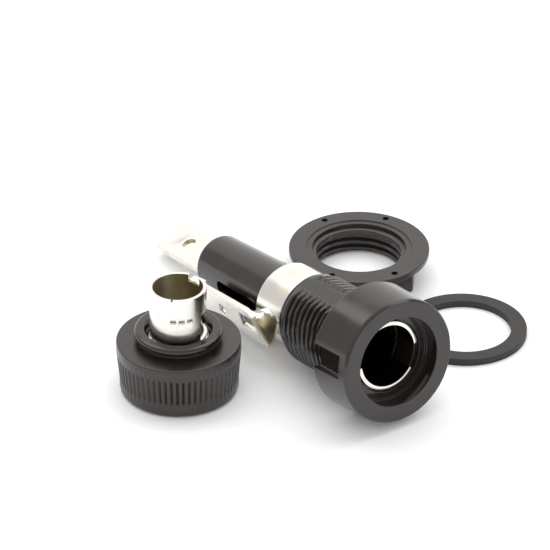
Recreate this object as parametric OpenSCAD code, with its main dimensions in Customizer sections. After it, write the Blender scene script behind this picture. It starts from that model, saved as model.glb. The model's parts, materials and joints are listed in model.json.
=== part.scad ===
// Panel-mount cartridge fuse holder, taken apart and laid out on a bench.
// The holder lies on its flange rim and its terminals, the cap stands on its knob,
// the nut and the sealing washer lie flat. All sizes are in millimetres.
// Each piece is drawn about its own axis and then laid in its place on the bench.

/* [Flange and mouth] */
// Diameter of the flange at its front face
flange_front_d = 16.8; // [16.4:0.1:17]
// Diameter of the flange at its rear face
flange_rear_d = 17.3; // [17:0.1:17.6]
// Length of the flange
flange_l = 7; // [6.8:0.1:7.6]
// Diameter of the mouth that takes the cap's neck
mouth_d = 12.1; // [12:0.02:12.3]
// Depth of the mouth
mouth_depth = 2.5; // [2.4:0.1:2.7]
// Width of the keyway in the rim of the flange
keyway_w = 3.2; // [2.6:0.1:3.6]
// Length of the keyway, from the rear face
keyway_l = 5.4; // [5:0.1:5.6]

/* [Threaded bushing] */
// Major diameter of the thread
thread_d = 12.7; // [12.6:0.02:12.72]
// Root diameter of the thread
thread_root_d = 11.5; // [11.3:0.05:11.55]
// Pitch of the thread
thread_pitch = 1.058; // [1.054:0.002:1.064]
// Number of thread ridges
thread_ridges = 9; // [7:1:9]
// Length of the bushing behind the flange
bushing_l = 12.4; // [12.3:0.1:13]
// Distance of the flat from the axis
bushing_flat = 5.7; // [5.6:0.01:6]

/* [Barrel] */
// Diameter of the barrel next to the collar
barrel_front_d = 8.54; // [8.4:0.02:8.7]
// Diameter of the barrel at its rear end
barrel_rear_d = 7.9; // [7.8:0.02:8.2]
// Length of the barrel behind the collar
barrel_l = 16.6; // [16.4:0.1:17.2]
// Bore that clears a 6.35 mm fuse
fuse_bore_d = 6.7; // [6.6:0.02:6.72]
// Width of the window in the side of the barrel
window_w = 2.9; // [2.4:0.1:3]
// Length of the window
window_l = 9.7; // [8:0.1:9.8]

/* [Contacts and terminals] */
// Outer diameter of the front contact sleeve
sleeve_d = 9.4; // [9.3:0.02:9.5]
// Thickness of the contact strip
strip_t = 0.5; // [0.4:0.05:0.5]
// Angle that each bayonet gap in the sleeve takes up
gap_angle = 44; // [36:1:46]
// Outer diameter of the side terminal's collar
collar_d = 10.7; // [10.6:0.02:10.8]
// Width of the collar along the axis
collar_w = 5.7; // [5.4:0.1:5.7]
// Width of the side blade
blade_w = 5; // [4.8:0.1:5.1]
// Distance of the blade's outer face from the axis
blade_x = 7; // [6.8:0.1:7.1]
// Length of the blade behind the front of the collar
blade_l = 18.1; // [17.4:0.1:18.4]
// Width of the end tab
tab_w = 6.35; // [6.2:0.05:6.4]
// Thickness of the end tab and of the blade
tab_t = 0.8; // [0.7:0.05:0.8]
// Length of the end tab outside the barrel
tab_l = 12.6; // [12:0.1:13.4]

/* [Cap] */
// Largest diameter of the knob
knob_d = 16.4; // [16:0.1:16.8]
// Height of the knob
knob_h = 7.5; // [7.2:0.1:7.8]
// Number of grip flutes round the knob
flutes = 64; // [60:2:68]
// Diameter of the lip that enters the mouth
lip_d = 11.66; // [11.4:0.02:11.7]
// Outer diameter of the fuse clip
clip_d = 7.5; // [7.4:0.02:7.6]
// Height of the clip's rim above the bench
clip_top = 15.4; // [15:0.1:15.6]
// Spring travel of the clip
clip_travel = 1.2; // [1:0.1:1.2]

/* [Nut and washer] */
// Diameter of the nut's flange
nut_flange_d = 19.5; // [19.2:0.1:19.6]
// Thickness of the nut's flange
nut_flange_t = 1; // [1:0.1:1.3]
// Width of the nut's hexagon across its flats
nut_af = 15.5; // [15.2:0.1:15.6]
// Whole height of the nut
nut_h = 4.5; // [4.4:0.1:4.8]
// Outer diameter of the sealing washer
washer_d = 17; // [16.8:0.1:17.1]
// Inner diameter of the sealing washer
washer_hole_d = 12.8; // [12.74:0.02:12.9]
// Thickness of the sealing washer
washer_t = 1; // [0.9:0.05:1.1]

/* [Layout on the bench] */
// Heading of the holder's axis, turned from straight ahead
heading = 34.4; // [30:0.1:36]

/* [Hidden] */
$fn = 96;

black = "#35302e";     // warm black moulding
rubber = "#3c3a39";
tin = "#e6e4dd";       // tinned brass
steel = "#c3c4c6";

// Places on the bench: centres of the cap, nut and washer, and the middle of the flange face
cap_pos = [-19.24, -12.375, 0];
nut_pos = [5.03, 16.245, 0];
nut_turn = 3;
washer_pos = [18.94, 1.045, 0];
holder_pos = [9.3, -21.305];

// Holder, measured backwards along its axis from the flange face
bushing_end = flange_l + bushing_l;
neck_l = collar_w + 0.1;
neck_end = bushing_end + neck_l;
barrel_end = neck_end + barrel_l;
end_wall_t = 1.2;
inner_end = barrel_end - end_wall_t;
tab_end = barrel_end + 0.1 + tab_l;
tab_chamfer = 0.9;
sleeve_front = 2.4;
sleeve_l = 9.5;
sleeve_end = sleeve_front + sleeve_l;
neck_d = collar_d - 2 * strip_t - 0.04;
thread_start = flange_l + 0.9;
ridge_flank = 0.36;
ridge_crest = 0.16;
ridge_gap = 0.17;      // between the crest at the flange and the first ridge
leg_w = 2.2;           // strip that runs back from the sleeve
leg_r = fuse_bore_d / 2 + 0.1;
leg_end = bushing_end + 4.4;
rivet_s = bushing_end + collar_w / 2 + 0.2;
rivet_r = 0.6;
leg_angle = -70;       // side of the bore that the strip runs along
gap_side = -33;        // first bayonet gap, the second is opposite
chamber_d = 7.1;       // wider end of the bore, for the plunger
chamber_s = 36.7;
seat_t = 0.4;
tongue_w = 2.6;        // tongue of the end tab, staked through the end wall
tongue_t = tab_t - 0.1;
stake_gap = 0.04;
plunger_s = 37.1;
plunger_t = 0.6;
spring_front = plunger_s + plunger_t;
spring_back = inner_end - seat_t;
window_mid = neck_end + 1.8 + window_l / 2;

// The holder rests on the rear rims of its flange and barrel, which set the lean of its axis,
// and has rolled until its side blade hangs low.
lean = atan((flange_rear_d - barrel_rear_d) / 2 / (barrel_end - flange_l));
axis_h = flange_rear_d / 2 * cos(lean) + flange_l * sin(lean);
blade_end = bushing_end + blade_l;
blade_chamfer = 0.5;
blade_y = 0.6;         // middle of the blade, off the axis
roll = 14.86;

// Cap, measured up from the bench, standing on its knob
knob_r = knob_d / 2;
knob_rim_band = 1.6;   // plain band at the joint face
flute_foot = 1.9;      // plain rounded foot
flute_d = 0.54;
well_r = 4.3;
well_floor = 1.2;      // bottom of the hollow inside the knob
bush_foot = 4.2;       // where the pressed-in bush ends inside the knob
bush_wall_r = 5.4;
lip_h = 1.7;
base_z = 7.6;          // underside of the clip, on its base disc
clip_r = clip_d / 2;
clip_wall = 0.45;
band_z = 11.9;         // lower edge of the clip's grip band
stem_r = 1.1;

module lay_holder()
    translate([holder_pos.x, holder_pos.y, axis_h])
        rotate([90 - lean, 0, heading])
            rotate([0, 0, roll])
                children();

// Half section of one thread ridge at distance s from the flange face
function ridge(i) =
    let (s = thread_start + i * thread_pitch)
    [
        [thread_root_d / 2, -s],
        [thread_d / 2, -s - ridge_flank],
        [thread_d / 2, -s - ridge_flank - ridge_crest],
        [thread_root_d / 2, -s - 2 * ridge_flank - ridge_crest]
    ];

module bushing() {
    ridges = [for (i = [0 : thread_ridges]) each ridge(i)];
    rotate_extrude()
        polygon(concat(
            [
                [0, -flange_l + 1], [thread_d / 2, -flange_l + 1],
                [thread_d / 2, -thread_start + ridge_gap + ridge_flank],
                [thread_root_d / 2, -thread_start + ridge_gap]
            ],
            ridges,
            [
                [thread_root_d / 2, -bushing_end + 0.4],
                [thread_root_d / 2 - 0.4, -bushing_end],
                [0, -bushing_end]
            ]
        ));
}

module flange() {
    soft = 0.25;
    groove = 0.12;
    r1 = flange_front_d / 2;
    r2 = flange_rear_d / 2;
    rotate_extrude()
        polygon([
            [0, 0], [r1 - soft, 0], [r1, -soft],
            [r1, -2 * soft], [r1 - groove, -2.5 * soft], [r1 + 0.02, -3 * soft],
            [r2, -flange_l + soft], [r2 - soft, -flange_l], [0, -flange_l]
        ]);
}

// Slot with round corners, l along Z and w along Y, cut through from X = x0 to x1
module round_slot(l, w, r, x0, x1)
    translate([x0, 0, 0])
        rotate([90, 0, 90])
            linear_extrude(x1 - x0) {
                square([w - 2 * r, l], center = true);
                square([w, l - 2 * r], center = true);
                for (i = [-1, 1], j = [-1, 1])
                    translate([i * (w / 2 - r), j * (l / 2 - r)])
                        circle(r, $fn = 32);
            }

module holder_body() {
    key_depth = 1.1;
    key_angle = 156;
    relief_d = 10;
    relief_l = 0.7;
    window_x = 6;
    color(black) lay_holder() difference() {
        union() {
            flange();
            difference() {
                bushing();
                translate([-thread_d, bushing_flat, -bushing_end - 1])
                    cube([2 * thread_d, thread_d, bushing_l + 1]);
            }
            translate([0, 0, -neck_end])
                cylinder(h = neck_l + 0.5, d = neck_d);
            translate([0, 0, -barrel_end])
                cylinder(h = barrel_l, d1 = barrel_rear_d, d2 = barrel_front_d);
        }
        // mouth, relief round the sleeve and the sleeve's seat
        translate([0, 0, -mouth_depth])
            cylinder(h = mouth_depth + 1, d = mouth_d);
        translate([0, 0, -mouth_depth - relief_l])
            cylinder(h = mouth_depth, d = relief_d);
        translate([0, 0, -sleeve_end])
            cylinder(h = sleeve_l, d = sleeve_d);
        // fuse bore and plunger chamber
        translate([0, 0, -chamber_s - 1])
            cylinder(h = chamber_s, d = fuse_bore_d);
        translate([0, 0, -inner_end])
            cylinder(h = inner_end - chamber_s, d = chamber_d);
        // groove for the strip that joins sleeve and collar
        rotate([0, 0, leg_angle])
            translate([0, -leg_w / 2, -leg_end - 0.1])
                cube([leg_r + strip_t, leg_w, leg_end - sleeve_end + 1]);
        rotate([0, 90, leg_angle])
            translate([rivet_s, 0, 1])
                cylinder(h = collar_d, r = rivet_r + 0.05, $fn = 48);
        // slot for the end terminal's tongue
        translate([0, 0, -barrel_end])
            cube([tongue_w + 2 * stake_gap, tongue_t + stake_gap, 3 * end_wall_t], center = true);
        // window behind the blade
        translate([0, 0, -window_mid])
            round_slot(window_l, window_w, 0.8, -window_x, -1);
        // keyway in the rear of the flange
        rotate([0, 0, key_angle])
            translate([flange_front_d / 2 - key_depth, -keyway_w / 2, -flange_l - 1])
                cube([3, keyway_w, keyway_l + 1]);
    }
}

module front_contact_sleeve() {
    slot_h = 1.7;
    slot_s = 5.4;
    slot_turn = 50;
    color(tin) lay_holder() {
        difference() {
            translate([0, 0, -sleeve_end])
                cylinder(h = sleeve_l, d = sleeve_d);
            translate([0, 0, -sleeve_end - 1])
                cylinder(h = sleeve_l + 2, d = sleeve_d - 2 * strip_t);
            // bayonet gaps: a way in, then a slot round the sleeve
            for (side = [gap_side, gap_side + 180])
                rotate([0, 0, side - gap_angle / 2]) {
                    translate([0, 0, -slot_s - slot_h])
                        rotate_extrude(angle = gap_angle)
                            translate([2, 0])
                                square([4, slot_s + slot_h]);
                    translate([0, 0, -slot_s - slot_h])
                        rotate_extrude(angle = gap_angle + slot_turn)
                            translate([2, 0])
                                square([4, slot_h]);
                }
        }
        // leg along the bore to the collar, with a hole for the rivet
        rotate([0, 0, leg_angle])
            difference() {
                union() {
                    translate([leg_r, -leg_w / 2 + 0.05, -leg_end])
                        cube([strip_t, leg_w - 0.1, leg_end - sleeve_end]);
                    translate([leg_r, -leg_w / 2 + 0.05, -sleeve_end])
                        cube([sleeve_d / 2 - leg_r - 0.1, leg_w - 0.1, strip_t]);
                }
                translate([0, 0, -rivet_s])
                    rotate([0, 90, 0])
                        cylinder(h = 6, r = rivet_r + 0.02, $fn = 48);
            }
    }
}

// Rivet through the collar, the wall and the end of the strip
module bridge_rivet() {
    head_r = 1.2;
    color(tin) lay_holder()
        rotate([0, 0, leg_angle])
            translate([0, 0, -rivet_s])
                rotate([0, 90, 0])
                    rotate_extrude($fn = 48)
                        polygon([
                            [0, leg_r - 0.25], [head_r - 0.3, leg_r - 0.25], [head_r - 0.2, leg_r],
                            [rivet_r, leg_r], [rivet_r, collar_d / 2],
                            [head_r, collar_d / 2], [head_r - 0.2, collar_d / 2 + 0.3],
                            [0, collar_d / 2 + 0.45]
                        ]);
}

// Outline of the side blade, seen from the side: x is across the blade, y along the axis
module blade_outline() {
    front_low = bushing_end + 1.2;
    front_high = bushing_end + 4.3;
    rear = blade_end;
    w = blade_w / 2;
    c = blade_chamfer;
    translate([blade_y, 0])
        polygon([
            [-w, -front_low], [w, -front_high],
            [w, -rear + c], [w - c, -rear], [-w + c, -rear], [-w, -rear + c]
        ]);
}

// Collar round the neck, with a foot that steps out to the blade
module side_terminal() {
    slot_l = 3.2;
    slot_w = 2.1;
    slot_y = blade_y + 0.35;
    slot_s = bushing_end + 5.5;
    hole_s = bushing_end + 11.7;
    hole_d = 1.5;
    color(tin) lay_holder() difference() {
        union() {
            translate([0, 0, -bushing_end - collar_w - 0.05])
                cylinder(h = collar_w, d = collar_d);
            intersection() {
                translate([-blade_x, 0, 0])
                    rotate([90, 0, 90])
                        linear_extrude(blade_x - neck_d / 4)
                            blade_outline();
                translate([-10, -5, -bushing_end - collar_w])
                    cube([20, 10, collar_w - 0.3]);
            }
            translate([-blade_x, 0, 0])
                rotate([90, 0, 90])
                    linear_extrude(tab_t)
                        blade_outline();
        }
        translate([0, 0, -neck_end - 1])
            cylinder(h = neck_l + 2, d = neck_d + 0.02);
        // oblong and small hole for soldered wires
        translate([-blade_x - 1, slot_y - slot_w / 2, -slot_s - slot_l / 2])
            cube([2, slot_w, slot_l]);
        translate([-blade_x - 1, blade_y, -hole_s])
            rotate([0, 90, 0])
                cylinder(h = 2, d = hole_d, $fn = 48);
        rotate([0, 90, leg_angle])
            translate([rivet_s, 0, 1])
                cylinder(h = collar_d, r = rivet_r + 0.02, $fn = 48);
    }
}

// Quick-connect tab, with a tongue staked through the end wall
module end_terminal() {
    hole_d = 1.9;
    hole_s = tab_end - 4.8;
    c = tab_chamfer;
    w = tab_w / 2;
    color(tin) lay_holder() difference() {
        union() {
            rotate([90, 0, 0])
                translate([0, 0, -tab_t / 2])
                    linear_extrude(tab_t)
                        polygon([
                            [-w, -barrel_end - 0.1], [w, -barrel_end - 0.1],
                            [w, -tab_end + c], [w - c, -tab_end],
                            [-w + c, -tab_end], [-w, -tab_end + c]
                        ]);
            translate([-tongue_w / 2, -tongue_t / 2, -barrel_end - 1])
                cube([tongue_w, tongue_t, end_wall_t + seat_t + 1.15]);
        }
        translate([0, 5, -hole_s])
            rotate([90, 0, 0])
                cylinder(h = 10, d = hole_d, $fn = 48);
    }
}

// Shallow cup that the spring stands in, held by the staked tongue
module spring_seat()
    color(tin) lay_holder() difference() {
        translate([0, 0, -inner_end])
            cylinder(h = seat_t, d = chamber_d - 0.3);
        cube([tongue_w + stake_gap, tongue_t + stake_gap, 4 * barrel_end], center = true);
    }

// Turns of a compression spring along Z, drawn as rings
module coil_rings(z0, z1, mean_r, wire_d, turns)
    for (i = [0 : turns - 1])
        translate([0, 0, z0 + wire_d / 2 + i * (z1 - z0 - wire_d) / (turns - 1)])
            rotate_extrude($fn = 64)
                translate([mean_r, 0])
                    circle(d = wire_d, $fn = 16);

module contact_spring()
    color(steel) lay_holder()
        coil_rings(-spring_back + 0.02, -spring_front - 0.02, 2.5, 0.5, 4);

module contact_plunger() {
    rim = 0.2;
    r = 3.15;
    color(tin) lay_holder()
        rotate_extrude()
            polygon([
                [0, -plunger_s - 0.3], [1.6, -plunger_s - 0.2], [2.2, -plunger_s],
                [r - rim, -plunger_s], [r, -plunger_s - rim],
                [r, -spring_front], [0, -spring_front]
            ]);
}

module cap_knob() {
    top = knob_h - knob_rim_band;
    taper = 0.35;
    round_r = 0.7;
    r_foot = knob_r - taper;
    dish_r = 5.8;
    color(black) translate(cap_pos) difference() {
        rotate_extrude()
            polygon(concat(
                [[0, 0]],
                [for (a = [0 : 15 : 90])
                    [r_foot - round_r + round_r * sin(a), round_r - round_r * cos(a)]],
                [[knob_r, top], [knob_r, knob_h - 0.15], [knob_r - 0.15, knob_h], [0, knob_h]]
            ));
        // flutes, each with a round end
        for (i = [0 : flutes - 1])
            rotate([0, 0, i * 360 / flutes])
                translate([knob_r + 0.05, 0, flute_foot])
                    cylinder(h = top - flute_foot - 0.1, d = flute_d, $fn = 32);
        // hollow that takes the bush and the clip's spring
        translate([0, 0, bush_foot])
            cylinder(h = knob_h, r = bush_wall_r + 0.02);
        translate([0, 0, well_floor])
            cylinder(h = knob_h, r = well_r);
        // shallow dish in the outer face
        translate([0, 0, -1])
            cylinder(h = 1.2, r = dish_r);
    }
}

// Neck of the cap: a bush pressed into the knob, with the rounded lip that enters the mouth
module cap_bush() {
    lip_r = lip_d / 2;
    top = knob_h + lip_h;
    blend = 0.6;
    stop_r = 3.95;     // inner stop that keeps the clip's base in
    stop_z = base_z + 0.04;
    color(black) translate(cap_pos)
        rotate_extrude()
            polygon(concat(
                [
                    [well_r, bush_foot], [bush_wall_r, bush_foot],
                    [bush_wall_r, knob_h], [bush_wall_r - 0.5, knob_h + 0.05],
                    [bush_wall_r - 0.5, knob_h + 0.65], [bush_wall_r, knob_h + 0.72]
                ],
                [for (a = [-60 : 20 : 90])
                    [lip_r - blend + blend * cos(a), top - blend + blend * sin(a)]],
                [[well_r + 0.3, top], [well_r, top - 0.3], [well_r, stop_z + 0.6],
                    [stop_r, stop_z + 0.35], [stop_r, stop_z], [well_r, stop_z]]
            ));
}

module cap_seal_ring()
    color(rubber) translate(cap_pos)
        rotate_extrude()
            translate([bush_wall_r - 0.18, knob_h + 0.33])
                circle(d = 0.56, $fn = 24);

module clip_spring()
    color(steel) translate(cap_pos)
        coil_rings(well_floor + 0.02, base_z - 0.42, 2.7, 0.6, 5);

// Headed stem that guides the spring and carries the clip's base
module clip_stem() {
    foot = well_floor + clip_travel + 0.3;
    color(steel) translate(cap_pos)
        rotate_extrude($fn = 48)
            polygon([
                [0, foot], [1.6, foot], [1.6, foot + 0.4], [stem_r, foot + 0.4],
                [stem_r, base_z + 0.45],
                [1.7, base_z + 0.45], [1.5, base_z + 0.85], [0, base_z + 1]
            ]);
}

module clip_base()
    color(tin) translate(cap_pos) difference() {
        translate([0, 0, base_z - 0.4])
            cylinder(h = 0.4, r = 4.15);
        cylinder(h = 20, r = stem_r + 0.01);
    }

// Fuse clip: a cup whose band grips the fuse, with bayonet lugs bent out at the rim
module fuse_clip() {
    inner = clip_r - clip_wall;
    lug_w = 2;
    lug_out = 0.9;
    slit_h = 0.4;
    slit_turn = 13;
    side_from = -38;
    side_turn = 66;
    seam_at = -101;
    color(tin) translate(cap_pos) difference() {
        union() {
            rotate_extrude()
                polygon([
                    [stem_r + 0.01, base_z], [clip_r - 0.7, base_z], [clip_r, base_z + 0.9],
                    [clip_r, clip_top], [inner, clip_top], [inner, base_z + 1.1],
                    [inner - 0.5, base_z + clip_wall], [stem_r + 0.01, base_z + clip_wall]
                ]);
            for (side = [50, 230])
                rotate([0, 0, side])
                    translate([clip_r - 0.2, -lug_w / 2, clip_top - 1.2])
                        cube([lug_out + 0.2, lug_w, clip_wall]);
        }
        // slits under the band, and the open side between the legs
        translate([0, 0, band_z])
            for (from = [-105, -88, -71])
                rotate([0, 0, from])
                    rotate_extrude(angle = slit_turn)
                        translate([2, 0])
                            square([4, slit_h]);
        translate([0, 0, base_z + 1])
            rotate([0, 0, side_from])
                rotate_extrude(angle = side_turn)
                    translate([2, 0])
                        square([4, band_z + slit_h - base_z - 1]);
        // notch where the rolled band meets itself
        rotate([0, 0, seam_at])
            translate([0, -0.12, clip_top - 0.4])
                cube([6, 0.24, 1]);
    }
}

module panel_nut() {
    root_r = thread_d / 2 + 0.1;
    crest_r = thread_root_d / 2 + 0.1;
    hub_h = nut_h - nut_flange_t;
    soft = 0.25;
    hex_r = nut_af / sqrt(3);
    turns = 3;
    crest_t = 0.2;
    flank_t = 0.36;
    first = 0.3;
    hex_turn = 22;
    step_r = 7.5;
    step_h = 0.15;
    dimple_d = 0.9;
    dimple_at = 8.6;
    color(black) translate(nut_pos) rotate([0, 0, nut_turn]) difference() {
        union() {
            rotate([0, 0, hex_turn])
                cylinder(h = hub_h + 0.1, r = hex_r, $fn = 6);
            translate([0, 0, hub_h])
                rotate_extrude()
                    polygon([
                        [0, 0], [nut_flange_d / 2 - soft, 0], [nut_flange_d / 2, soft],
                        [nut_flange_d / 2, nut_flange_t - soft],
                        [nut_flange_d / 2 - soft, nut_flange_t], [0, nut_flange_t]
                    ]);
        }
        // threaded hole
        rotate_extrude()
            polygon(concat(
                [[0, -1], [root_r, -1]],
                [for (i = [0 : turns - 1]) let (z = first + i * thread_pitch) each [
                    [root_r, z], [crest_r, z + flank_t],
                    [crest_r, z + flank_t + crest_t], [root_r, z + 2 * flank_t + crest_t]
                ]],
                [[root_r, nut_h + 1], [0, nut_h + 1]]
            ));
        // shallow step round the hole and spanner dimples
        translate([0, 0, nut_h - step_h])
            cylinder(h = 1, r = step_r);
        for (a = [60, 120, 240, 300])
            rotate([0, 0, a])
                translate([dimple_at, 0, nut_h - dimple_d])
                    cylinder(h = 2, d = dimple_d, $fn = 32);
    }
}

module sealing_washer()
    color(rubber) translate(washer_pos)
        rotate_extrude()
            translate([washer_hole_d / 2, 0])
                square([(washer_d - washer_hole_d) / 2, washer_t]);

holder_body();
front_contact_sleeve();
bridge_rivet();
side_terminal();
end_terminal();
spring_seat();
contact_spring();
contact_plunger();
cap_knob();
cap_bush();
cap_seal_ring();
clip_spring();
clip_stem();
clip_base();
fuse_clip();
panel_nut();
sealing_washer();
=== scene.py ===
import json
import math

import bmesh
import bpy
from mathutils import Matrix, Vector


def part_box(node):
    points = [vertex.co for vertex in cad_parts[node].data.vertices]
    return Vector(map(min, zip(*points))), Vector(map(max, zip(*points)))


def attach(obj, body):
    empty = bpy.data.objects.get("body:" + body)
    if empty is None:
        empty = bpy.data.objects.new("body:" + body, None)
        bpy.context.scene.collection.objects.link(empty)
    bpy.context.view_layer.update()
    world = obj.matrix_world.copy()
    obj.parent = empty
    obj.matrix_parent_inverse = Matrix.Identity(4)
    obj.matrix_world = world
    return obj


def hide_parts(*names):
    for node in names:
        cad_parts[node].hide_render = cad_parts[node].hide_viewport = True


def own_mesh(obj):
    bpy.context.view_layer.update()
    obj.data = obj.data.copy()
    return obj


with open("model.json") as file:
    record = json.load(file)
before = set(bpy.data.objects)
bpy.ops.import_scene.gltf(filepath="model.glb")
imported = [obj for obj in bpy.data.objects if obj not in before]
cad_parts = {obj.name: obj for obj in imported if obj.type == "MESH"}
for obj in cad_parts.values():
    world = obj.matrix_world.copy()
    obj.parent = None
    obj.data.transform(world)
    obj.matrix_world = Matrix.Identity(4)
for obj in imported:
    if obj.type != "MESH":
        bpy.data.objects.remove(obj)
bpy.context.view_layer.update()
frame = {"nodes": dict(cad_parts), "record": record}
mm = 0.001
print("frame loaded")

# The holder is drawn about its own axis: x across the tab, y out of the tab's face, z out of the mouth.
# Its place on the bench comes from the record's mounts.
mounts = {m["name"]: m for m in frame["record"]["mounts"]}
outOfMouth = Vector(mounts["fuse_bore"]["axis"])
outOfTab = Vector(mounts["end_tab_face"]["axis"])
boreMiddle = 24.3
flangeCentre = Vector(mounts["fuse_bore"]["pos_m"]) + outOfMouth * boreMiddle * mm
holderPlace = Matrix((outOfTab.cross(outOfMouth), outOfTab, outOfMouth)).transposed().to_4x4()
holderPlace.translation = flangeCentre


def onBench(node):
    # place of a piece that stands upright on the bench, about the middle of its CAD node
    low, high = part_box(node)
    return Matrix.Translation(((low.x + high.x) / 2, (low.y + high.y) / 2, 0))


capPlace = onBench("cap_knob")
nutPlace = onBench("panel_nut") @ Matrix.Rotation(math.radians(3), 4, "Z")
washerPlace = onBench("sealing_washer")


def toLinear(code):
    parts = [int(code[i:i + 2], 16) / 255 for i in (1, 3, 5)]
    return [p / 12.92 if p <= 0.04045 else ((p + 0.055) / 1.055) ** 2.4 for p in parts] + [1.0]


def addNode(tree, kind, settings=None, links=None):
    # a key that is a property of the node sets it; any other key sets the socket of that name or number
    node = tree.nodes.new(kind)
    for key, value in (settings or {}).items():
        if isinstance(key, str) and hasattr(node, key):
            setattr(node, key, value)
        else:
            node.inputs[key].default_value = value
    for key, source in (links or {}).items():
        tree.links.new(source, node.inputs[key])
    return node


def newMaterial(name):
    # an empty node material, its tree and its Object coordinates
    material = bpy.data.materials.new(name)
    material.use_nodes = True
    tree = material.node_tree
    tree.nodes.clear()
    return material, tree, addNode(tree, "ShaderNodeTexCoord").outputs["Object"]


def noise(tree, place, size, detail):
    # noise with features of this size in millimetres, on Object coordinates in metres
    return addNode(tree, "ShaderNodeTexNoise", {"Scale": 1 / (size * mm), "Detail": detail},
                   {"Vector": place})


def mouldedThermoset(name, look):
    # Black phenolic moulding: warm near-black with a faint cloudiness, a semi-gloss skin from the
    # polished mould, small light specks of dust and fine hair-like scratches.
    material, tree, place = newMaterial(name)
    cloud = noise(tree, place, 2.6, 3.0)
    grain = noise(tree, place, 0.16, 2.0)
    dust = noise(tree, place, 0.3, 1.0)
    hair = noise(tree, place, 3.4, 1.5)
    dustMask = addNode(tree, "ShaderNodeMapRange",
                       {"From Min": look["dustFrom"], "From Max": look["dustFrom"] + 0.03},
                       {"Value": dust.outputs["Fac"]})
    # a scratch is the thin line where a slow noise crosses its middle value
    offMiddle = addNode(tree, "ShaderNodeMath", {"operation": "SUBTRACT", 1: 0.5}, {0: hair.outputs["Fac"]})
    away = addNode(tree, "ShaderNodeMath", {"operation": "ABSOLUTE"}, {0: offMiddle.outputs[0]})
    line = addNode(tree, "ShaderNodeMapRange",
                   {"From Min": 0.0, "From Max": look["hairWidth"], "To Min": 1.0, "To Max": 0.0},
                   {"Value": away.outputs[0]})
    patch = addNode(tree, "ShaderNodeMapRange",
                    {"From Min": 0.52, "From Max": 0.62, "To Max": look["scratch"]},
                    {"Value": cloud.outputs["Fac"]})
    scratch = addNode(tree, "ShaderNodeMath", {"operation": "MULTIPLY"},
                      {0: line.outputs[0], 1: patch.outputs[0]})
    body = addNode(tree, "ShaderNodeMix",
                   {"data_type": "RGBA", 6: toLinear(look["dark"]), 7: toLinear(look["light"])},
                   {0: cloud.outputs["Fac"]})
    marks = addNode(tree, "ShaderNodeMath", {"operation": "MAXIMUM"},
                    {0: dustMask.outputs[0], 1: scratch.outputs[0]})
    marked = addNode(tree, "ShaderNodeMix", {"data_type": "RGBA", 7: toLinear("#6e665f")},
                     {0: marks.outputs[0], 6: body.outputs[2]})
    rough = addNode(tree, "ShaderNodeMapRange",
                    {"From Min": 0.3, "From Max": 0.7,
                     "To Min": look["roughLow"], "To Max": look["roughHigh"]},
                    {"Value": cloud.outputs["Fac"]})
    roughest = addNode(tree, "ShaderNodeMath", {"operation": "MAXIMUM"},
                       {0: rough.outputs[0], 1: marks.outputs[0]})
    bump = addNode(tree, "ShaderNodeBump", {"Strength": look["grain"], "Distance": 0.01 * mm},
                   {"Height": grain.outputs["Fac"]})
    shader = addNode(tree, "ShaderNodeBsdfPrincipled", {"IOR": look["ior"], "Metallic": 0.0},
                     {"Base Color": marked.outputs[2], "Roughness": roughest.outputs[0],
                      "Normal": bump.outputs["Normal"]})
    addNode(tree, "ShaderNodeOutputMaterial", None, {"Surface": shader.outputs[0]})
    return material


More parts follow.
